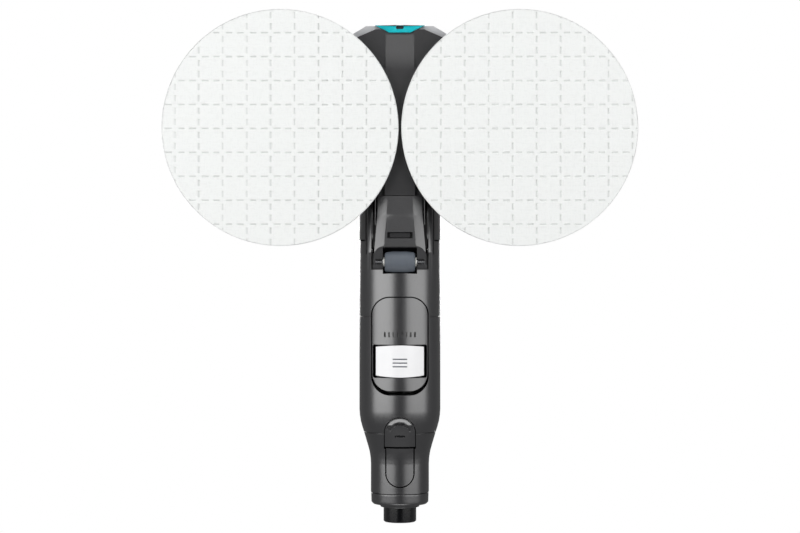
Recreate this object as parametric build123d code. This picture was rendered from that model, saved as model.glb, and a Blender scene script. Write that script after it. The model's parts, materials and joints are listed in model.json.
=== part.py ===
"""Cordless twin-disc floor burnisher head. Millimetres, pads on the floor, handle end at +Y."""
import math
import os

from build123d import *

os.makedirs("parts", exist_ok=True)

# Discs
disc_x = 86.0
disc_y = -101.0
pad_radius = 85.0
pad_thickness = 5.0
hook_radius = 74.0
plate_radius = 79.0
plate_top = 11.0
spindle_radius = 4.0
running_gap = 0.05

# Gear train
gear_module = 2.0
wheel_teeth = 30
idler_teeth = 28
pinion_teeth = 10
gear_low = 19.0
gear_high = 24.0
idler_x = 28.0
motor_y = disc_y - 38.0

# Head
lobe_radius = 62.0
nose_y = -176.2
window_y = -170.9
rear_y = -66.0
wall = 2.5
base_wall = 2.0
base_low = 14.0
rim_low = 21.0
crown_height = 58.0
end_height = 37.0

# Knuckle and neck
axis_z = 36.0
pivot_y = -35.0
roll_seam_y = -52.4
neck_radius = 29.7
neck_wall = 2.8
seam_one_y = 35.0
seam_two_y = 119.8
collar_y = 164.0
collar_end_y = 172.7
handle_end_y = 186.0
spigot_radius = 12.0
spigot_seat = 11.6
bush_radius = 11.4
knuckle_back = 24.8
tail_radius = 21.3
slot_half = 20.8
cheek_half = 20.7
cover_inner = 25.0
cover_front = -49.3
cover_back = -20.7

# Floor roller
roller_y = -4.6
roller_z = 8.7
roller_radius = 7.7
roller_half = 10.9
arm_inner = 12.4
arm_outer = 19.0
axle_radius = 1.6

# Battery cover and latches
pill_half = 20.9
pill_front = 20.5
pill_back = 91.8
pill_corner = 13.6
window_half = 19.6
window_front = 55.2
window_back = 79.3
release_half = 9.8
release_front = 130.6
release_back = 158.4


def save(name, shape):
    """Write one node."""
    shape = shape.solid() if len(shape.solids()) == 1 else shape
    export_step(shape, "parts/" + name + ".step")


def block(x0, x1, y0, y1, z0, z1):
    """Box between limits."""
    centre = ((x0 + x1) / 2, (y0 + y1) / 2, (z0 + z1) / 2)
    return Pos(*centre) * Box(abs(x1 - x0), abs(y1 - y0), abs(z1 - z0))


def post(radius, x, y, low, high):
    """Upright cylinder."""
    return Pos(x, y, (low + high) / 2) * Cylinder(radius, high - low)


def rod_x(radius, y, z, start, end):
    """Cylinder along X."""
    return Pos((start + end) / 2, y, z) * Rot(0, 90, 0) * Cylinder(radius, end - start)


def rod_y(radius, x, z, start, end):
    """Cylinder along Y."""
    return Pos(x, (start + end) / 2, z) * Rot(90, 0, 0) * Cylinder(radius, end - start)


def turned_x(points, y, z):
    """Solid turned about an X axis from (x, radius) points."""
    face = make_face(Polyline(*[(x, r, 0) for x, r in points], close=True))
    return Pos(0, y, z) * revolve(face, Axis.X)


def turned_y(points):
    """Solid turned about the neck axis from (y, radius) points."""
    face = make_face(Polyline(*[(r, y, 0) for y, r in points], close=True))
    return Pos(0, 0, axis_z) * revolve(face, Axis.Y)


def prism_x(points, x0, x1):
    """Side profile of (y, z) points carried across X."""
    face = make_face(Polyline(*[(x0, y, z) for y, z in points], close=True))
    return extrude(face, amount=x1 - x0, dir=(1, 0, 0))


def prism_y(points, y0, y1):
    """Front profile of (x, z) points carried along Y."""
    face = make_face(Polyline(*[(x, y0, z) for x, z in points], close=True))
    return extrude(face, amount=y1 - y0, dir=(0, 1, 0))


def pill(half, front, back, corner, z0, z1):
    """Upright prism on a rounded rectangle, straddling x = 0."""
    face = RectangleRounded(2 * half, back - front, min(corner, half - 0.05, (back - front) / 2 - 0.05))
    return Pos(0, (front + back) / 2, z0) * extrude(face, amount=z1 - z0)


def gear(teeth, phase, x, y, bore, low=gear_low, high=gear_high):
    """Spur gear with straight-sided teeth and generous backlash."""
    pitch_radius = gear_module * teeth / 2
    flank = [(-2.3, 1.95), (0.0, 1.2), (1.6, 0.65)]
    points = []
    for tooth in range(teeth):
        middle = math.radians(phase + 360 * tooth / teeth)
        for side, rows in ((-1, flank), (1, flank[::-1])):
            for rise, half in rows:
                radius = pitch_radius + rise
                angle = middle + side * half / radius
                points.append((radius * math.cos(angle), radius * math.sin(angle)))
    face = make_face(Polyline(*points, close=True))
    blank = extrude(face, amount=high - low)
    return Pos(x, y, low) * blank - post(bore, x, y, low - 1, high + 1)


# ---------------------------------------------------------------- discs

def pad(x):
    """Non-woven pad with softened edges."""
    body = post(pad_radius, x, disc_y, 0, pad_thickness)
    return fillet(body.edges().filter_by(GeomType.CIRCLE), 0.7)


def drive_plate(x):
    """Ribbed plate with a rim, a hub and a blind socket for the spindle."""
    low = pad_thickness + 1.2
    body = post(plate_radius, x, disc_y, low, low + 2.2)
    rim = post(plate_radius, x, disc_y, low, plate_top) - post(plate_radius - 3, x, disc_y, low, plate_top)
    body = body + rim + post(12, x, disc_y, low, 12)
    for turn in range(6):
        rib = block(11, plate_radius - 2, -1.2, 1.2, low + 2, plate_top - 0.6)
        body += Pos(x, disc_y, 0) * Rot(0, 0, 60 * turn) * rib
    return body - post(spindle_radius, x, disc_y, low + 1.2, 13)


def spindle(x):
    """Spindle from the plate's socket to the gearbox plate, with a shoulder under the gear."""
    body = post(spindle_radius, x, disc_y, pad_thickness + 2.4, 29)
    return body + post(6.2, x, disc_y, 18.2, gear_low)


def build_discs():
    """Both pad stacks, mirror images apart from the gears' phases."""
    for side, x, phase in (("left", -disc_x, 0.0), ("right", disc_x, 6.0)):
        save("pad_" + side, pad(x))
        save("hook_disc_" + side, post(hook_radius, x, disc_y, pad_thickness, pad_thickness + 1.2))
        save("drive_plate_" + side, drive_plate(x))
        save("spindle_" + side, spindle(x))
        save("wheel_gear_" + side, gear(wheel_teeth, phase, x, disc_y, spindle_radius))
    idler_bore = 3 + running_gap
    save("idler_gear_left", gear(idler_teeth, 180 / idler_teeth, -idler_x, disc_y, idler_bore))
    save("idler_gear_right", gear(idler_teeth, 0.0, idler_x, disc_y, idler_bore))
    save("motor_pinion", gear(pinion_teeth, 18.0, -idler_x, motor_y, 2.0 + running_gap))


# ---------------------------------------------------------------- head

def head_outline(inset):
    """Plan of the head: a lobe over each disc joined to a blunt nose."""
    nose = [(24.5, nose_y), (34.0, -170.6), (46.0, -146.0), (46.0, rear_y)]
    points = [(x, y) for x, y in nose] + [(-x, y) for x, y in reversed(nose)]
    plan = make_face(Polyline(*points, close=True))
    for x in (-disc_x, disc_x):
        plan += Pos(x, disc_y) * Circle(lobe_radius)
    plan -= Pos(0, rear_y + 40) * Rectangle(88, 80)
    return offset(plan, -inset) if inset else plan


def head_block(inset, low, drop):
    """Solid under the domed top, pulled in all round by the inset."""
    body = Pos(0, 0, low) * extrude(head_outline(inset), amount=crown_height + 10 - low)
    rise = crown_height - end_height
    span = disc_x + lobe_radius
    crown = (span * span + rise * rise) / (2 * rise)
    dome = rod_y(crown - drop, 0, crown_height - crown, -300, 100)
    side = [(-190, low - 1), (-190, 30 - drop), (-172, 43 - drop), (-140, 57 - drop)]
    side += [(-90, crown_height + 3 - drop), (-30, 50 - drop), (-30, low - 1)]
    return body & dome & prism_x(side, -160, 160)


def spray_gap():
    """Wedge of the nose taken by the spray window."""
    points = [(-18.2, nose_y - 2), (18.2, nose_y - 2), (18.2, nose_y), (7.8, window_y)]
    points += [(-7.8, window_y), (-18.2, nose_y)]
    return extrude(make_face(Polyline(*points, close=True)), amount=36)


def nose_corners(gap, low, high):
    """Prisms beyond the tray's cut front corners, filled by the cover's lip."""
    plan = [(16.0, -190), (42.0, -190), (42.0, -162.6 - gap), (16.0, -173.9 - gap)]
    body = extrude(Pos(0, 0, low) * make_face(Polyline(*plan, close=True)), amount=high - low)
    return body + mirror(body, Plane.YZ)


def vent():
    """Round-ended cooling slot."""
    return extrude(SlotOverall(16, 2.2), amount=20, both=True)


def top_cover():
    """Silver shell over the head, open below, with a filler hole and a rear notch."""
    outer = head_block(0, rim_low, 0)
    body = outer - head_block(wall, rim_low - 1, wall)
    body += nose_corners(0.4, rim_low, 28) & extrude(head_outline(0), amount=40)
    body -= spray_gap()
    body -= post(13.0, 0, -118, 40, 70)
    skin = outer - head_block(0, rim_low - 1, 0.7)
    for side in (-1, 1):
        x = side * disc_x
        body -= skin & (post(47.4, x, disc_y, 20, 80) - post(46.6, x, disc_y, 20, 80))
        for row in range(5):
            body -= Pos(side * 30, -100 + 6 * row, 50) * vent()
    return body - rod_y(19.7, 0, axis_z, rear_y - 6, rear_y + 4)


def spray_window():
    """Tinted wedge that wraps under the nose, bored for the nozzle."""
    body = spray_gap() & block(-30, 30, nose_y, -160, 16.0, 35.5)
    return body - rod_y(3.0, 0, 24, nose_y - 1, -160) - pill(2.8, nose_y + 0.3, -173.5, 1.7, 15, 24)


def front_floor():
    """Front of the floor: a sloping strip between two flats that drop to the belly."""
    strip = [(-178, 19.1), (-143, 12.5), (-143, 16), (-178, 26)]
    flats = [(-178, 15.2), (-145.5, 15.2), (-143, 12.5), (-143, 16), (-152, 18.3), (-178, 26)]
    inside = extrude(head_outline(wall + 0.5), amount=40)
    body = prism_x(strip, -10.4, 10.4)
    for x0, x1 in ((-46, -10.4), (10.4, 46)):
        body += prism_x(flats, x0, x1)
    return body & inside


def base_housing():
    """Dark tray: floor, side walls, belly facets, bearing seats, posts and rear collar."""
    inset = wall + 0.5
    body = extrude(Pos(0, 0, base_low) * head_outline(inset), amount=13)
    body -= extrude(Pos(0, 0, base_low + base_wall) * head_outline(inset + base_wall), amount=20)
    body -= block(-60, 60, -180, -143, 0, 18)
    body += front_floor()
    body -= nose_corners(0, 0, 60)
    belly = [(-10.6, 12.5), (10.6, 12.5), (24, 15), (-24, 15)]
    body += prism_y(belly, -143, rear_y - 3)
    body -= spray_gap()
    body -= rod_y(3.0, 0, 24, -180, -160)
    for x in (-disc_x, disc_x):
        body += post(13, x, disc_y, base_low, 18)
        body -= post(9, x, disc_y, 10, 30)
    for x in (-idler_x, idler_x):
        body += post(6, x, disc_y, base_low, 18.4)
        body -= post(3, x, disc_y, base_low + 1, 30)
    for x, y in ((-57, -127), (57, -127), (-57, -76), (57, -76)):
        body += post(4, x, y, base_low, 26)
    body += block(-30, 30, rear_y - 5, rear_y - 3, base_low, 50)
    body += rod_y(19.4, 0, axis_z, rear_y - 5, roll_seam_y - 0.4)
    keel = [(rear_y - 3, 12.5), (roll_seam_y - 0.4, 13.5), (roll_seam_y - 0.4, 22), (rear_y - 3, 22)]
    body += prism_x(keel, -11.0, 11.0)
    return body - rod_y(bush_radius, 0, axis_z, rear_y - 20, 0)


def gearbox_plate():
    """Plate over the gears carrying the upper bores and the motor."""
    body = block(-98, 98, -131, -74, 26, 28.5) + post(13.4, -idler_x, motor_y, 26, 28.5)
    body -= block(-16, 16, -84, -70, 20, 40)
    for x in (-disc_x, disc_x):
        body += post(10, x, disc_y, 26, 30)
        body -= post(spindle_radius + running_gap, x, disc_y, 20, 40)
    for x in (-idler_x, idler_x):
        body -= post(3, x, disc_y, 20, 40)
    return body - post(6, -idler_x, motor_y, 20, 40)


def drive_motor():
    """Motor can standing on the gearbox plate, with its shaft through the pinion."""
    body = post(13, -idler_x, motor_y, 28.5, 46)
    return body + post(5, -idler_x, motor_y, 26.5, 28.6) + post(2, -idler_x, motor_y, 18, 28)


def water_tank():
    """Closed tank with a neck under the filler hole."""
    body = fillet(block(-10, 26, -136, -104, 31, 50).edges().filter_by(Axis.Z), 5)
    body += post(11, 0, -118, 49, 54)
    body -= fillet(block(-8, 24, -134, -106, 33, 48).edges().filter_by(Axis.Z), 4)
    return body - post(8, 0, -118, 44, 60)


def tank_cap():
    """Filler cap with a finger bar and a plug that fits the tank's neck."""
    body = post(12.7, 0, -118, 54.3, 60) - post(11.3, 0, -118, 60.5, 61)
    body = chamfer(body.edges().group_by(Axis.Z)[-1], 1.0)
    body += block(-9, 9, -119.6, -116.4, 59, 62.5)
    return body + post(7.8, 0, -118, 49, 55)


def spray_hose():
    """Hose from the pump to the nozzle."""
    ends = ((14, -150.05, 36), (7, -157, 30), (0, -163.9, 24))
    path = Spline(*ends, tangents=((0, -1, 0), (0, -1, 0)))
    ring = Plane(origin=path @ 0, z_dir=path % 0) * Circle(1.6)
    return sweep(ring, path=path)


def build_head():
    """Everything that stays with the head."""
    save("base_housing", base_housing())
    save("top_cover", top_cover())
    save("spray_window", spray_window())
    nozzle = rod_y(2.8, 0, 24, nose_y + 1.0, -164) - rod_y(0.8, 0, 24, nose_y, -172)
    hood = pill(2.7, nose_y + 0.4, -173.6, 1.6, 17.2, 24)
    save("spray_nozzle", nozzle + hood)
    save("gearbox_plate", gearbox_plate())
    for side, x in (("left", -1), ("right", 1)):
        save("idler_axle_" + side, post(3, x * idler_x, disc_y, base_low + 1, 28.5))
        ring = post(9, x * disc_x, disc_y, 13, 18)
        save("spindle_bearing_" + side, ring - post(spindle_radius + running_gap, x * disc_x, disc_y, 12, 19))
    save("drive_motor", drive_motor())
    save("water_tank", water_tank())
    save("tank_cap", tank_cap())
    save("spray_pump", block(6, 22, -150, -139, 30, 42) + rod_y(3, 14, 36, -139, -137))
    save("spray_hose", spray_hose())
    save("control_board", block(-80, -50, -122, -82, 32, 33.6) + block(-72, -60, -112, -96, 33, 36))
    bush = rod_y(bush_radius, 0, axis_z, rear_y - 10, roll_seam_y - 0.4)
    save("roll_bush", bush - rod_y(9 + running_gap, 0, axis_z, -90, 0))


# ---------------------------------------------------------------- knuckle

def belly_section(y, middle, side, low, rise):
    """Cross-section of the knuckle's belly: a flat middle and two sloping sides."""
    points = [(-middle, low), (middle, low), (side, low + rise), (side, 30)]
    points += [(-side, 30), (-side, low + rise)]
    return make_face(Polyline(*[(x, y, z) for x, z in points], close=True))


def knuckle_belly():
    """Wedge that widens from the roll seam to the roller."""
    front = belly_section(roll_seam_y, 8.8, 16.2, 13.5, 1.2)
    middle = belly_section(-38, 9.8, 16.4, 11.6, 2.4)
    back = belly_section(-12, 12.3, 18.6, 8.0, 2.4)
    return loft([front, middle], ruled=True) + loft([middle, back], ruled=True)


def yoke():
    """Arch with two arms that hold the roller's axle in open slots."""
    front, end, low = -16.1, 0.4, 4.6
    plan = Pos(0, (front + end + 12) / 2) * RectangleRounded(2 * arm_outer, end - front + 12, 8.0)
    plan -= Pos(0, end + 15) * Rectangle(60, 30)
    plan -= Pos(0, roller_y + 10) * Rectangle(2 * arm_inner, 20 + 2 * 10.6)
    body = extrude(Pos(0, 0, low) * plan, amount=13)
    body -= prism_x([(-5, 18), (4, 18), (4, 10), (1, 12)], -30, 30)
    foot = block(-arm_outer - 0.4, arm_outer + 0.4, -2.2, end, low, 8.5)
    body += foot - block(-arm_inner, arm_inner, -10, 10, 0, 20)
    slot_half_width = axle_radius + 0.3
    for side in (-1, 1):
        ends = sorted((side * 10, side * 17.6))
        body -= block(*ends, roller_y - slot_half_width, roller_y + slot_half_width, 0, roller_z)
    return body


def swivel_bracket():
    """Block on a round spigot, with a faceted belly, a round back and the roller's yoke."""
    front = roll_seam_y
    body = rod_y(19.4, 0, axis_z, front, front + 3)
    profile = [(-20, 26), (-20, 50), (-14, 54), (14, 54), (20, 50), (20, 26), (10, 18), (-10, 18)]
    side = [(front, 0), (front, 44), (-46, 56), (-21, 52), (-18, 30), (-18, 0)]
    body += prism_y(profile, front + 2, -21) & prism_x(side, -30, 30)
    back = rod_x(knuckle_back, pivot_y, axis_z, -20, 20)
    body += back & block(-20, 20, pivot_y, 0, 22, 52)
    body += knuckle_belly() + yoke()
    cheeks = rod_x(21.0, pivot_y, axis_z, -cheek_half, cheek_half)
    body += cheeks - block(-19.6, 19.6, -60, 0, 0, 80)
    body += rod_y(9, 0, axis_z, rear_y - 13, front + 1)
    body -= rod_x(5, pivot_y, axis_z, -30, 30)
    body -= rod_x(axle_radius, roller_y, roller_z, -30, 30)
    body -= rod_y(5, 0, axis_z, -100, pivot_y - 8)
    body -= block(-9.25, 9.25, -26.1, -21.5, 0, 17.5)
    return body - rod_x(10.3, roller_y, roller_z, -arm_inner, arm_inner)


def build_knuckle():
    """The rolling knuckle, its pins and the floor roller."""
    bracket = swivel_bracket()
    save("swivel_bracket", bracket)
    rails = pill(18.3, -60.0, -30.2, 2.6, 14.5, 25) - pill(17.5, -70.0, -31.0, 1.8, 0, 40)
    rails &= block(-20, 20, -52, -20, 0, 40)
    save("bracket_cover", rails - bracket)
    save("swivel_clip", block(-7.5, 7.5, -25.4, -22.2, 12.0, 17.4))
    ring = rod_y(13.5, 0, axis_z, rear_y - 12.6, rear_y - 10.4) - rod_y(9, 0, axis_z, -100, 0)
    save("roll_ring", ring)
    save("tilt_pin", rod_x(5, pivot_y, axis_z, -24.9, 24.9))
    save("roller_axle", rod_x(axle_radius, roller_y, roller_z, -18.8, 18.8))
    half, top, core = roller_half, roller_radius, axle_radius + running_gap
    crown = [(-half, core), (half, core), (half, top - 1.4), (half - 1, top - 0.7), (5, top - 0.08)]
    crown += [(-5, top - 0.08), (-half + 1, top - 0.7), (-half, top - 1.4)]
    save("roller", turned_x(crown, roller_y, roller_z))
    for side, sign in (("left", -1), ("right", 1)):
        collar = rod_x(3.3, roller_y, roller_z, *sorted((sign * half, sign * 12.2)))
        save("roller_collar_" + side, collar - rod_x(core, roller_y, roller_z, -20, 20))


# ---------------------------------------------------------------- neck

def neck_profile(inset):
    """Radius along the neck as (y, radius), straight, then a soft shoulder, then straight."""
    rows = [(103.3, 29.7), (107.7, 29.4), (112.1, 28.7), (116.5, 27.5), (120.9, 26.1)]
    rows += [(125.3, 24.8), (129.7, 23.5), (134.1, 22.3), (138.6, 21.6), (143.0, tail_radius)]
    return [(y, r - inset) for y, r in rows]


def neck_solid(start, end, inset):
    """Turned neck between two places along Y."""
    rows = [(y, r) for y, r in neck_profile(inset) if start < y < end]
    everything = [(-100, neck_radius - inset)] + neck_profile(inset) + [(200, tail_radius - inset)]

    def radius_at(place):
        for (ya, ra), (yb, rb) in zip(everything, everything[1:]):
            if ya <= place <= yb:
                return ra + (rb - ra) * (place - ya) / (yb - ya)
        return tail_radius - inset

    ring = [(start, radius_at(start))] + rows + [(end, radius_at(end))]
    return turned_y([(start, 0)] + ring + [(end, 0)])


def seam_groove(place):
    """Ring cut into the neck's skin where two shells meet."""
    return neck_solid(place - 0.35, place + 0.35, -1) - neck_solid(place - 1, place + 1, 0.6)


def pill_opening():
    """Opening for the battery cover, through the neck's underside."""
    return pill(pill_half, pill_front, pill_back, pill_corner, 0, 20)


def neck_front():
    """Fork that straddles the knuckle, then a hollow barrel up to the first seam."""
    barrel = neck_solid(pivot_y, seam_one_y, 0)
    nose = rod_x(21.2, pivot_y, axis_z, -neck_radius, neck_radius) & rod_y(neck_radius, 0, axis_z, -70, 0)
    body = barrel + nose
    body -= block(-slot_half, slot_half, -70, pivot_y + 21, 0, 80)
    body -= rod_x(knuckle_back + 0.5, pivot_y, axis_z, -slot_half, slot_half)
    body -= block(-slot_half, slot_half, -70, 1.0, 0, 23)
    body -= rod_x(roller_radius + 0.9, roller_y, roller_z, -arm_inner, arm_inner)
    body -= block(-slot_half, slot_half, -70, -9.0, 0, 28)
    body -= neck_solid(10.0, seam_one_y + 1, neck_wall)
    body -= pill_opening()
    for sign in (-1, 1):
        facet = [(sign * 20.0, 5), (sign * 26, 5), (sign * 26, 18.8), (sign * 20.0, 15.6)]
        body -= prism_y(facet, -70, -11.5)
        body -= block(sign * 24.1, sign * 24.8, -70, -10, 0, 22)
        body -= block(sign * cover_inner, sign * 40, cover_front - 0.1, cover_back + 0.1, 0, 80)
        body -= block(sign * cover_inner, sign * 28.6, cover_back, cover_back + 1.1, 0, 32)
    body -= seam_groove(seam_one_y)
    return body - rod_x(5 + running_gap, pivot_y, axis_z, -40, 40)


def pivot_cover(sign):
    """Curved cover over the end of the tilt pin, a little proud of the neck."""
    body = rod_y(neck_radius + 0.6, 0, axis_z, cover_front, cover_back)
    return body & block(sign * cover_inner, sign * 40, -60, 0, 0, 80)


def neck_body():
    """Barrel between the seams, with the pill opening and the power button's hole."""
    body = neck_solid(seam_one_y, seam_two_y, 0) - neck_solid(seam_one_y - 1, seam_two_y + 1, neck_wall)
    body -= pill_opening()
    body -= pill(11.6, 107.5, 141, 11.5, 0, 20) + seam_groove(seam_one_y) + seam_groove(seam_two_y)
    for x in (-6, 0, 6):
        body -= post(1.2, x, 76, 50, 80)
    return body - post(8.1, 0, 60, 50, 80)


def neck_tail():
    """Shoulder and straight tail, with the release pad's hole."""
    body = neck_solid(seam_two_y, collar_y, 0) - neck_solid(seam_two_y - 1, 150, neck_wall)
    body -= rod_y(spigot_seat, 0, axis_z, 149, 200)
    body -= block(-11.6, 11.6, 118, 131, 0, 20) + seam_groove(seam_two_y)
    return body - release_plan(0.9, 0, axis_z - 12.4)


def release_guide():
    """Insert with a crescent finger scoop round a raised thumb rest."""
    skin = neck_solid(100, 165, 0.0)
    body = skin & pill(11.0, 108.1, 141, 10.9, 0, 19) & block(-12, 12, 100, 129.4, 0, 19)
    scoop = pill(10.3, 108.8, 140, 10.2, 0, 30) - pill(7.4, 113.4, 140, 7.3, 0, 30)
    scoop &= prism_x([(108, 0), (121, 0), (121, 10.2), (113.6, 10.2), (108.4, 7.0)], -12, 12)
    return body - scoop - release_mark(-1.0)


def release_mark(sink):
    """Short dark bar let into the thumb rest, its face sunk a little below the skin."""
    bar = block(-3.7, 3.7, 120.8, 122.3, 0, 30) & neck_solid(100, 165, sink)
    return bar - neck_solid(100, 165, 1.1)


def release_plan(gap, low, high):
    """Prism on the release pad's outline: straight towards the scoop, round towards the handle."""
    half = release_half + gap
    body = pill(half, release_front - gap - 30, release_back + gap, half - 0.2, low, high)
    return body & block(-30, 30, release_front - gap, 200, low, high)


def release_pad():
    """Domed pad that lets go of the handle when pressed."""
    return neck_solid(100, 165, -0.8) & release_plan(0, 0, axis_z - 17.5)


def battery_cover():
    """Curved pill-shaped lid with a window for the latch button."""
    outline = pill(pill_half - 0.9, pill_front + 0.9, 88.7, pill_corner - 0.9, 0, 20)
    body = (neck_solid(0, 100, 0.5) - neck_solid(-1, 101, 3.2)) & outline
    body -= pill(window_half, window_front, window_back, 1.5, 0, 30)
    for tick in range(8):
        x = 3.1 * (tick - 3.5)
        body -= block(x - 0.6, x + 0.6, 46.2, 49.8, 0, 20) - neck_solid(0, 100, 2.1)
    return body


def latch_button():
    """Wide pale button with bulged ends and three grooves."""
    half = 17.4
    ends = [(-half, 56.8), (0, 55.7), (half, 56.8), (half, 77.6), (0, 78.9), (-half, 77.6)]
    plan = make_face(
        ThreePointArc(ends[0], ends[1], ends[2]) + Line(ends[2], ends[3])
        + ThreePointArc(ends[3], ends[4], ends[5]) + Line(ends[5], ends[0]))
    body = (neck_solid(0, 100, 0.1) - neck_solid(-1, 101, 2.2)) & extrude(plan, amount=28)
    body += block(-5, 5, 62.3, 72.3, 7.6, 10.4)
    return body - button_bars(0)


def button_bars(sink):
    """Three grey bars let into the latch button, sunk a little below its face."""
    bars = []
    for row in (65.7, 68.4, 71.1):
        bar = block(-5.3, 5.3, row - 0.4, row + 0.4, 0, 20) & neck_solid(0, 100, 0.1 + sink)
        bars.append(bar - neck_solid(-1, 101, 1.0))
    return Compound(children=bars)


def spring(x, y, low, high):
    """Closed sleeve standing for a small coil spring."""
    return post(3.0, x, y, low, high) - post(2.2, x, y, low - 1, high + 1)


def battery_bay():
    """Space inside the battery case."""
    bay = block(-18.2, 18.2, 16, 84, 17.8, 54.2)
    return fillet(bay.edges().filter_by(Axis.Y), 5)


def build_neck():
    """The tilting neck and what it carries."""
    save("neck_front", neck_front())
    save("pivot_cover_left", pivot_cover(-1))
    save("pivot_cover_right", pivot_cover(1))
    save("neck_body", neck_body())
    save("neck_tail", neck_tail())
    collar = turned_y([
        (collar_y + 0.4, spigot_seat), (collar_y + 0.4, tail_radius - 0.2),
        (collar_end_y - 1.5, tail_radius - 0.4),
        (collar_end_y, tail_radius - 1.8), (collar_end_y, 14.7), (175.0, 14.2), (175.0, spigot_seat)])
    save("neck_collar", collar)
    spigot = rod_y(spigot_seat, 0, axis_z, 149, 176) + rod_y(spigot_radius, 0, axis_z, 175, handle_end_y)
    spigot -= rod_y(3.0, 0, axis_z, 183, handle_end_y + 1)
    spigot = chamfer(spigot.edges().filter_by(GeomType.CIRCLE).group_by(Axis.Y)[-1], 0.8)
    save("handle_spigot", spigot)
    save("contact_pin", rod_y(3.0, 0, axis_z, 183, 185.2))
    save("battery_cover", battery_cover())
    save("latch_button", latch_button())
    save("button_bars", button_bars(0.1))
    save("latch_spring", spring(0, 67.3, 10.4, 16.8))
    outer = fillet(block(-19, 19, 14, 86, 17, 55).edges().filter_by(Axis.Y), 6)
    save("battery_case", outer - battery_bay())
    cells = [rod_y(8.7, x, axis_z + z, 17, 82) for x in (-9, 9) for z in (-9, 9)]
    save("battery_cells", Compound(children=cells))
    save("release_guide", release_guide())
    save("release_mark", release_mark(0.1))
    save("release_pad", release_pad())
    save("release_spring", spring(0, 144.5, axis_z - 17.5, axis_z - 12.4))
    button = post(8.0, 0, 60, 58, 67.2)
    button = fillet(button.edges().group_by(Axis.Z)[-1], 0.8)
    save("power_button", button)
    lights = [post(1.2, x, 76, 61.5, top) for x, top in ((-6, 65.2), (0, 65.8), (6, 65.2))]
    save("status_lights", Compound(children=lights))
    save("power_spring", spring(0, 60, 55.0, 58.0))


build_discs()
build_head()
build_knuckle()
build_neck()
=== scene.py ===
"""Looks for the cordless twin-disc floor burnisher head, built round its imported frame."""
import json
import math

import bpy
import numpy as np
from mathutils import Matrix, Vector


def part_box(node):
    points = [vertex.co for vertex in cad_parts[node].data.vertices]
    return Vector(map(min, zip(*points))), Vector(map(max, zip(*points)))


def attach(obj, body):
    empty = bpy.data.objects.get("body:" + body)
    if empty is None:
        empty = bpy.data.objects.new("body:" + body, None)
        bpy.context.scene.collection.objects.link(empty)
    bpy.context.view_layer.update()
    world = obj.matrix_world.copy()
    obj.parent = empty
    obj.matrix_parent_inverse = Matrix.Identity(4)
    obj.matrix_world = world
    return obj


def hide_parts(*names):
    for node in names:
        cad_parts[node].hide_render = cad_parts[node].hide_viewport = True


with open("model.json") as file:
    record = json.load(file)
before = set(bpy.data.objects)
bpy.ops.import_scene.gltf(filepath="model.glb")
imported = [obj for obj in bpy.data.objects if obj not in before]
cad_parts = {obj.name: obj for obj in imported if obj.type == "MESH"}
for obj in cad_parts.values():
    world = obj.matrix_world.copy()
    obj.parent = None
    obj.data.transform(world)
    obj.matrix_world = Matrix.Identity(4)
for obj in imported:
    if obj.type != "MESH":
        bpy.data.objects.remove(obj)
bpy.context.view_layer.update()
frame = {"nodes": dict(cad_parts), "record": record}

MM = 0.001
NODES = frame["nodes"]

# Pad face: an embossed lattice of short dashes on non-woven felt
LATTICE = 17.18 * MM
LATTICE_START_X = {"left": 10.4 * MM, "right": 12.2 * MM}
LATTICE_START_Y = -100.2 * MM
DASHES = ((2.2 * MM, 6.9 * MM), (10.2 * MM, 15.0 * MM))
# Painted shade in the felt's colour along the pressed dashes: stronger on the left pad than on the right,
# standing in for light that falls unevenly on the two pads.
DASH_PAINTED_SHADE = {"left": 0.9, "right": 0.55}
DASH_HALF_WIDTH = 0.62 * MM
DASH_SOFTNESS = 0.30 * MM
DASH_DEPTH = 0.60 * MM
DIMPLE_PITCH = 2.5 * MM
DIMPLE_DEPTH = 0.24 * MM
FACE_STEP = 0.70 * MM
EDGE_ROUND = 0.3 * MM
EDGE_FADE = 1.0 * MM
EDGE_STEPS = 4
# Painted shade: the felt's colour darkens a little in the dimple troughs, and where the painted shade is
# strongest it falls to this share of the felt's own colour.
DIMPLE_PAINTED_SHADE = 0.1
PAINTED_SHADE_SCALE = 0.80

# Softened CAD edges
WELD_REACH = 0.005 * MM
EDGE_BEVEL = 0.35 * MM
SHARP_ANGLE = math.radians(32)

# Studio: how bright the surroundings look in reflections, straight below and all round
GLOW_BELOW = 0.045
GLOW_AROUND = 0.19
GLOW_TURNS = (-0.985, -0.90)
FLOOR_HALF = 6.0
FLOOR_DROP = 0.0006
STRIP_AIM = (0.0, -0.08, 0.03)
HEAD_AIM = (0.0, -0.15, 0.03)
MIDDLE_AIM = (0.0, 0.0, 0.03)
# Lamps: name, place, aim, size, power
LAMPS = (
    ("under_strip_left", (-0.77, -0.08, -0.64), STRIP_AIM, (0.7, 1.2), 7.2),
    ("over_panel_left", (-0.32, -0.3, 1.2), MIDDLE_AIM, (0.6, 0.6), 9.0),
    ("under_strip_right", (0.77, -0.08, -0.64), STRIP_AIM, (0.7, 1.2), 5.6),
    ("over_panel_right", (0.32, -0.3, 1.2), MIDDLE_AIM, (0.6, 0.6), 9.0),
    ("under_nose", (0.0, -1.15, -0.72), HEAD_AIM, (1.0, 0.5), 6.5),
    ("under_strip_glow", (0.0, -0.6, -1.1), (0.0, -0.155, 0.016), (0.32, 0.32), 0.24),
    ("under_tail", (0.0, 1.45, -0.5), MIDDLE_AIM, (1.0, 0.5), 5.5),
)

# Camera straight below the middle
CAMERA_PLACE = (0.07 * MM, -1.23 * MM, -1450.0 * MM)
CAMERA_LENS = 90.97
CAMERA_SENSOR = 36.0

# Sockets of the colour mix node, which share names with its hidden number sockets
MIX_FACTOR, MIX_FIRST, MIX_SECOND, MIX_RESULT = 0, 6, 7, 2


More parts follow.
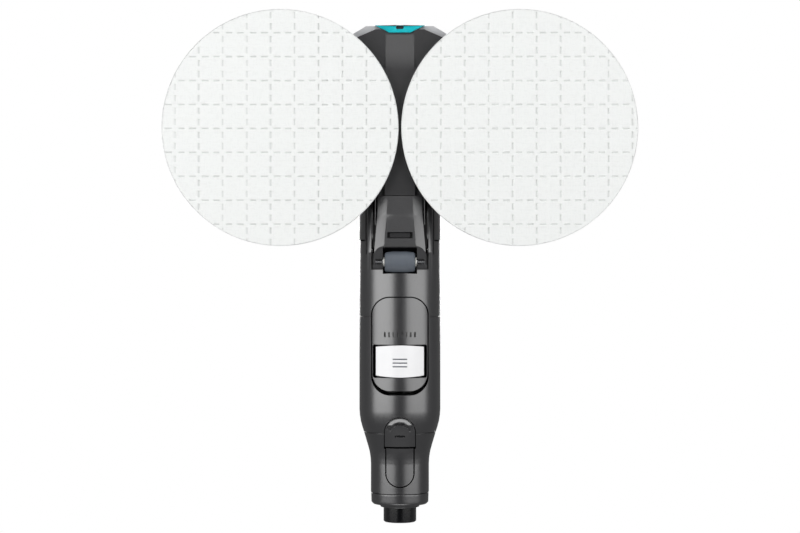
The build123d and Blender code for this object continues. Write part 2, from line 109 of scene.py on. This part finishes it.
# ------------------------------------------------------------------ materials

def node_material(name):
    """New node material with its Principled shader."""
    material = bpy.data.materials.new(name)
    material.use_nodes = True
    return material, material.node_tree, material.node_tree.nodes["Principled BSDF"]


def place(tree):
    """Texture coordinates fixed to the piece."""
    return tree.nodes.new("ShaderNodeTexCoord").outputs["Object"]


def noise(tree, scale, detail=4.0, stretch=None):
    """Noise value, optionally stretched along the axes."""
    source = place(tree)
    if stretch:
        mapping = tree.nodes.new("ShaderNodeMapping")
        mapping.inputs["Scale"].default_value = stretch
        tree.links.new(source, mapping.inputs["Vector"])
        source = mapping.outputs["Vector"]
    texture = tree.nodes.new("ShaderNodeTexNoise")
    texture.inputs["Scale"].default_value = scale
    texture.inputs["Detail"].default_value = detail
    tree.links.new(source, texture.inputs["Vector"])
    return texture.outputs["Fac"]


def ramp(tree, value, stops):
    """Colour ramp over (position, colour) stops."""
    node = tree.nodes.new("ShaderNodeValToRGB")
    elements = node.color_ramp.elements
    while len(elements) < len(stops):
        elements.new(0.5)
    for element, (position, colour) in zip(elements, stops):
        element.position = position
        element.color = (*colour, 1.0)
    tree.links.new(value, node.inputs["Fac"])
    return node.outputs["Color"]


def spread(tree, value, low, high):
    """Map a 0..1 value to low..high."""
    node = tree.nodes.new("ShaderNodeMapRange")
    node.inputs["To Min"].default_value = low
    node.inputs["To Max"].default_value = high
    tree.links.new(value, node.inputs["Value"])
    return node.outputs["Result"]


def bump(tree, height, strength, distance):
    """Bump normal from a height."""
    node = tree.nodes.new("ShaderNodeBump")
    node.inputs["Strength"].default_value = strength
    node.inputs["Distance"].default_value = distance
    tree.links.new(height, node.inputs["Height"])
    return node.outputs["Normal"]


def surface(name, colour, rough, grain=1600.0, depth=0.04 * MM, contrast=0.12, metal=0.0, coat=0.0,
            specular=0.5, stretch=None, sheen=0.0, ior=1.5):
    """Moulded, painted or brushed surface with fine grain and faint mottling."""
    material, tree, shader = node_material(name)
    mottle = noise(tree, 45.0, 5.0)
    dark = tuple(c * (1.0 - contrast) for c in colour)
    light = tuple(min(1.0, c * (1.0 + contrast)) for c in colour)
    tree.links.new(ramp(tree, mottle, ((0.3, dark), (0.7, light))), shader.inputs["Base Color"])
    fine = noise(tree, grain, 3.0, stretch)
    tree.links.new(spread(tree, fine, rough - 0.06, rough + 0.06), shader.inputs["Roughness"])
    tree.links.new(bump(tree, fine, 0.35, depth), shader.inputs["Normal"])
    shader.inputs["Metallic"].default_value = metal
    shader.inputs["Coat Weight"].default_value = coat
    shader.inputs["Specular IOR Level"].default_value = specular
    shader.inputs["Sheen Weight"].default_value = sheen
    shader.inputs["IOR"].default_value = ior
    return material


def felt(name, colour):
    """Non-woven felt: crossed short fibres, with painted shade where the pattern presses in."""
    material, tree, shader = node_material(name)
    along = noise(tree, 900.0, 6.0, (1.0, 0.25, 1.0))
    across = noise(tree, 900.0, 6.0, (0.25, 1.0, 1.0))
    mix = tree.nodes.new("ShaderNodeMath")
    mix.operation = "ADD"
    tree.links.new(along, mix.inputs[0])
    tree.links.new(across, mix.inputs[1])
    half = spread(tree, mix.outputs["Value"], -0.5, 0.5)
    shade = tuple(c * 0.95 for c in colour)
    plain_colour = ramp(tree, half, ((0.35, shade), (0.62, colour)))
    # Painted shade: the pad's painted-shade attribute darkens the felt colour in the dashes and dimple
    # troughs.
    press_and_painted_shade = tree.nodes.new("ShaderNodeAttribute")
    press_and_painted_shade.attribute_name = "press_and_painted_shade"
    blend = tree.nodes.new("ShaderNodeMix")
    blend.data_type = "RGBA"
    blend.inputs[MIX_SECOND].default_value = (*(c * PAINTED_SHADE_SCALE for c in colour), 1.0)
    tree.links.new(press_and_painted_shade.outputs["Fac"], blend.inputs[MIX_FACTOR])
    tree.links.new(plain_colour, blend.inputs[MIX_FIRST])
    tree.links.new(blend.outputs[MIX_RESULT], shader.inputs["Base Color"])
    tree.links.new(bump(tree, mix.outputs["Value"], 0.45, 0.12 * MM), shader.inputs["Normal"])
    shader.inputs["Roughness"].default_value = 0.95
    shader.inputs["Sheen Weight"].default_value = 0.15
    shader.inputs["Specular IOR Level"].default_value = 0.15
    return material


def tinted(name, colour, alpha_mix):
    """Clear tinted moulding."""
    material, tree, shader = node_material(name)
    cloud = noise(tree, 60.0, 3.0)
    deep = tuple(c * 0.8 for c in colour)
    tree.links.new(ramp(tree, cloud, ((0.35, deep), (0.7, colour))), shader.inputs["Base Color"])
    tree.links.new(bump(tree, noise(tree, 220.0, 2.0), 0.1, 0.05 * MM), shader.inputs["Normal"])
    shader.inputs["Roughness"].default_value = 0.12
    shader.inputs["Transmission Weight"].default_value = alpha_mix
    shader.inputs["Coat Weight"].default_value = 0.4
    return material


MATERIALS = {
    "shell_dark": surface("charcoal_moulding", (0.0135, 0.0135, 0.0155), 0.30, 1500.0, 0.012 * MM, 0.06,
                          specular=1.0, ior=1.7),
    "cover_silver": surface("silver_paint", (0.66, 0.665, 0.68), 0.38, 2400.0, 0.01 * MM, 0.04, 0.15, 0.2),
    "teal_clear": tinted("teal_window", (0.020, 0.62, 0.70), 0.15),
    "black_plastic": surface("black_moulding", (0.018, 0.018, 0.020), 0.45),
    "gloss_black": surface("black_gloss", (0.003, 0.003, 0.004), 0.16, 1200.0, 0.01 * MM, 0.1, 0.0, 0.3),
    "nylon": surface("natural_nylon", (0.72, 0.72, 0.68), 0.5, 1400.0, 0.03 * MM, 0.04),
    "steel": surface("turned_steel", (0.56, 0.57, 0.59), 0.28, 900.0, 0.02 * MM, 0.08, 1.0, 0.0, 0.5,
                     (1.0, 1.0, 9.0)),
    "pad_white": felt("pad_felt", (0.842, 0.856, 0.846)),
    "hook_black": surface("hook_fabric", (0.03, 0.03, 0.033), 0.9, 1900.0, 0.2 * MM, 0.3, sheen=0.2),
    "rubber_grey": surface("roller_rubber", (0.090, 0.104, 0.125), 0.55, 1300.0, 0.02 * MM, 0.08),
    "button_white": surface("white_moulding", (0.88, 0.88, 0.89), 0.3, 1500.0, 0.01 * MM, 0.02),
    "board_green": surface("circuit_board", (0.02, 0.16, 0.06), 0.4, 700.0, 0.05 * MM, 0.2),
    "cell_blue": surface("cell_wrap", (0.05, 0.15, 0.34), 0.3, 500.0, 0.02 * MM, 0.1),
    "brass": surface("contact_brass", (0.72, 0.52, 0.22), 0.25, 800.0, 0.02 * MM, 0.1, 1.0),
    "tank_clear": tinted("tank_moulding", (0.70, 0.78, 0.82), 0.5),
}
SLOT_OF = {part["node"]: part["material_slot"] for part in frame["record"]["subparts"]}


def dress(node):
    """Give a CAD node its material and softened edges."""
    part = NODES[node]
    part.data.materials.clear()
    part.data.materials.append(MATERIALS[SLOT_OF[node]])
    weld = part.modifiers.new("weld", "WELD")
    weld.merge_threshold = WELD_REACH
    bevel = part.modifiers.new("bevel", "BEVEL")
    bevel.width = EDGE_BEVEL
    bevel.segments = 2
    bevel.limit_method = "ANGLE"
    bevel.angle_limit = SHARP_ANGLE
    bevel.use_clamp_overlap = True
    part.modifiers.new("normals", "WEIGHTED_NORMAL")


# ------------------------------------------------------------------ pads

def grid_lines(low, high, start):
    """Places along one axis: an even spread plus lines at each dash's sides and ends."""
    extra = []
    count = int((high - start) / LATTICE) + 2
    for step in range(-2 * count, 2 * count + 1):
        line = start + step * LATTICE
        for half in (DASH_HALF_WIDTH, DASH_HALF_WIDTH - DASH_SOFTNESS):
            extra += [line - half, line + half]
        for first, last in DASHES:
            extra += [line + first, line + first + DASH_SOFTNESS, line + last - DASH_SOFTNESS, line + last]
    lines = sorted(v for v in extra + [low, high] if low <= v <= high)
    full = [lines[0]]
    for value in lines[1:]:
        gap = value - full[-1]
        pieces = max(1, int(math.ceil(gap / FACE_STEP)))
        full += [full[-1] + gap * (k + 1) / pieces for k in range(pieces)]
    return np.array(full)


def soft_step(value):
    """Smooth 0..1."""
    value = np.clip(value, 0.0, 1.0)
    return value * value * (3 - 2 * value)


def across_dash(value, start):
    """1 on a lattice line, 0 off it."""
    away = np.abs((value - start + LATTICE / 2) % LATTICE - LATTICE / 2)
    return soft_step((DASH_HALF_WIDTH - away) / DASH_SOFTNESS)


def along_dash(value, start):
    """1 within a dash's length, 0 between dashes."""
    place_in_cell = (value - start) % LATTICE
    total = np.zeros_like(value)
    for first, last in DASHES:
        inside = np.minimum(place_in_cell - first, last - place_in_cell)
        total = np.maximum(total, soft_step(inside / DASH_SOFTNESS))
    return total


def emboss(x, y, start_x):
    """Height of the pad's face above the floor, and how far a dash pushes it in, 0 to 1."""
    upright = across_dash(x, start_x) * along_dash(y, LATTICE_START_Y)
    level = across_dash(y, LATTICE_START_Y) * along_dash(x, start_x)
    dimples = np.sin((x + y) * math.tau / DIMPLE_PITCH) * np.sin((x - y) * math.tau / DIMPLE_PITCH)
    press_and_painted_shade = np.maximum(upright, level)
    return DASH_DEPTH * press_and_painted_shade + DIMPLE_DEPTH * (0.5 + 0.5 * dimples), press_and_painted_shade


def pad_piece(side):
    """Pad with its embossed face, rounded edge and plain back."""
    low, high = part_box("pad_" + side)
    middle = (low + high) / 2
    radius = (high.x - low.x) / 2
    face_radius = radius - EDGE_ROUND
    start_x = LATTICE_START_X[side]
    xs = grid_lines(low.x, high.x, start_x)
    ys = grid_lines(low.y, high.y, LATTICE_START_Y)
    gx, gy = np.meshgrid(xs, ys)
    dx, dy = gx - middle.x, gy - middle.y
    reach = np.hypot(dx, dy)
    inside = reach < face_radius - 0.1 * MM
    shrink = np.where(inside, 1.0, face_radius / np.maximum(reach, 1e-9))
    px, py = middle.x + dx * shrink, middle.y + dy * shrink
    fade = soft_step((face_radius - np.hypot(px - middle.x, py - middle.y)) / EDGE_FADE)
    height, press_and_painted_shade = emboss(px, py, start_x)
    pz = low.z + height * fade
    # Painted shade for the dashes and dimple troughs, kept on the mesh as a point attribute.
    painted_shade = DASH_PAINTED_SHADE[side] * press_and_painted_shade + DIMPLE_PAINTED_SHADE * height / (DASH_DEPTH + DIMPLE_DEPTH)
    touched = inside[:-1, :-1] | inside[1:, :-1] | inside[:-1, 1:] | inside[1:, 1:]
    width = len(xs)
    used, points, faces, rim, painted_shades = {}, [], [], {}, []

    def vertex(row, column):
        key = row * width + column
        if key not in used:
            used[key] = len(points)
            points.append((px[row, column], py[row, column], pz[row, column]))
            painted_shades.append(painted_shade[row, column])
            if not inside[row, column]:
                rim[math.atan2(dy[row, column], dx[row, column])] = used[key]
        return used[key]

    for row, column in zip(*np.nonzero(touched)):
        corners = ((row, column), (row + 1, column), (row + 1, column + 1), (row, column + 1))
        faces.append([vertex(r, c) for r, c in corners])
    angles = sorted(rim)
    ring = [rim[a] for a in angles]
    levels = []
    for turn in range(1, EDGE_STEPS + 1):
        swing = math.pi / 2 * turn / EDGE_STEPS
        levels.append((EDGE_ROUND * math.sin(swing), low.z + EDGE_ROUND * (1 - math.cos(swing))))
    for turn in range(EDGE_STEPS + 1):
        swing = math.pi / 2 * turn / EDGE_STEPS
        levels.append((EDGE_ROUND * math.cos(swing), high.z - EDGE_ROUND * (1 - math.sin(swing))))
    for out, height in levels:
        fresh = []
        reach_here = face_radius + out
        for angle in angles:
            fresh.append(len(points))
            x = middle.x + reach_here * math.cos(angle)
            points.append((x, middle.y + reach_here * math.sin(angle), height))
        for k in range(len(angles)):
            after = (k + 1) % len(angles)
            faces.append([ring[k], fresh[k], fresh[after], ring[after]])
        ring = fresh
    faces.append(list(ring))
    mesh = bpy.data.meshes.new("felt_pad_" + side)
    mesh.from_pydata(points, [], faces)
    mesh.validate()
    mesh.polygons.foreach_set("use_smooth", [True] * len(mesh.polygons))
    # This attribute carries the painted shade of the dashes and dimple troughs to the felt material.
    attribute = mesh.attributes.new("press_and_painted_shade", "FLOAT", "POINT")
    attribute.data.foreach_set("value", painted_shades + [0.0] * (len(mesh.vertices) - len(painted_shades)))
    mesh.materials.append(MATERIALS["pad_white"])
    piece = bpy.data.objects.new("felt_pad_" + side, mesh)
    bpy.context.scene.collection.objects.link(piece)
    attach(piece, "disc_" + side)
    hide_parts("pad_" + side)


# ------------------------------------------------------------------ stage

def area_light(name, place_at, aim, size, power):
    """Soft rectangular lamp aimed at a point."""
    lamp = bpy.data.lights.new(name, "AREA")
    lamp.shape = "RECTANGLE"
    lamp.size, lamp.size_y = size
    lamp.energy = power
    holder = bpy.data.objects.new(name, lamp)
    holder.location = place_at
    holder.rotation_euler = (Vector(aim) - Vector(place_at)).to_track_quat("-Z", "Y").to_euler()
    holder.visible_camera = False
    bpy.context.scene.collection.objects.link(holder)


def floor():
    """Pale floor seen from above only, so the underside can be looked at through it."""
    mesh = bpy.data.meshes.new("floor")
    turns = ((-1, -1), (1, -1), (1, 1), (-1, 1))
    corners = [(x * FLOOR_HALF, y * FLOOR_HALF, -FLOOR_DROP) for x, y in turns]
    mesh.from_pydata(corners, [], [(0, 1, 2, 3)])
    material, tree, shader = node_material("pale_floor")
    speckle = noise(tree, 12.0, 3.0)
    colours = ((0.3, (0.80, 0.80, 0.80)), (0.7, (0.84, 0.84, 0.84)))
    tree.links.new(ramp(tree, speckle, colours), shader.inputs["Base Color"])
    shader.inputs["Roughness"].default_value = 0.7
    clear = tree.nodes.new("ShaderNodeBsdfTransparent")
    mix = tree.nodes.new("ShaderNodeMixShader")
    side = tree.nodes.new("ShaderNodeNewGeometry")
    tree.links.new(side.outputs["Backfacing"], mix.inputs["Fac"])
    tree.links.new(shader.outputs["BSDF"], mix.inputs[1])
    tree.links.new(clear.outputs["BSDF"], mix.inputs[2])
    output = tree.nodes["Material Output"]
    tree.links.new(mix.outputs["Shader"], output.inputs["Surface"])
    mesh.materials.append(material)
    piece = bpy.data.objects.new("floor", mesh)
    bpy.context.scene.collection.objects.link(piece)
    for ray in ("diffuse", "glossy", "transmission", "shadow", "volume_scatter"):
        setattr(piece, "visible_" + ray, False)


def studio():
    """White surroundings, dim in reflections, and the lamps."""
    world = bpy.data.worlds.new("studio")
    bpy.context.scene.world = world
    world.use_nodes = True
    tree = world.node_tree
    back = tree.nodes["Background"]
    back.inputs["Color"].default_value = (1.0, 1.0, 1.0, 1.0)
    path = tree.nodes.new("ShaderNodeLightPath")
    split = tree.nodes.new("ShaderNodeSeparateXYZ")
    toward = tree.nodes.new("ShaderNodeTexCoord").outputs["Generated"]
    tree.links.new(toward, split.inputs["Vector"])
    glow = spread(tree, split.outputs["Z"], GLOW_BELOW, GLOW_AROUND)
    for end, turn in zip(("From Min", "From Max"), GLOW_TURNS):
        glow.node.inputs[end].default_value = turn
    either = tree.nodes.new("ShaderNodeMath")
    either.operation = "MAXIMUM"
    tree.links.new(glow, either.inputs[0])
    tree.links.new(path.outputs["Is Camera Ray"], either.inputs[1])
    tree.links.new(either.outputs["Value"], back.inputs["Strength"])
    for lamp in LAMPS:
        area_light(*lamp)


def camera():
    """Straight up at the underside, nose at the top of the frame."""
    lens = bpy.data.cameras.new("camera")
    lens.sensor_width = CAMERA_SENSOR
    lens.lens = CAMERA_LENS
    lens.clip_end = 50.0
    eye = bpy.data.objects.new("camera", lens)
    eye.location = CAMERA_PLACE
    eye.rotation_euler = (math.pi, 0.0, 0.0)
    bpy.context.scene.collection.objects.link(eye)
    bpy.context.scene.camera = eye


for node_name in NODES:
    dress(node_name)
for side_name in ("left", "right"):
    pad_piece(side_name)
floor()
studio()
camera()
bpy.context.scene.view_settings.view_transform = "Standard"
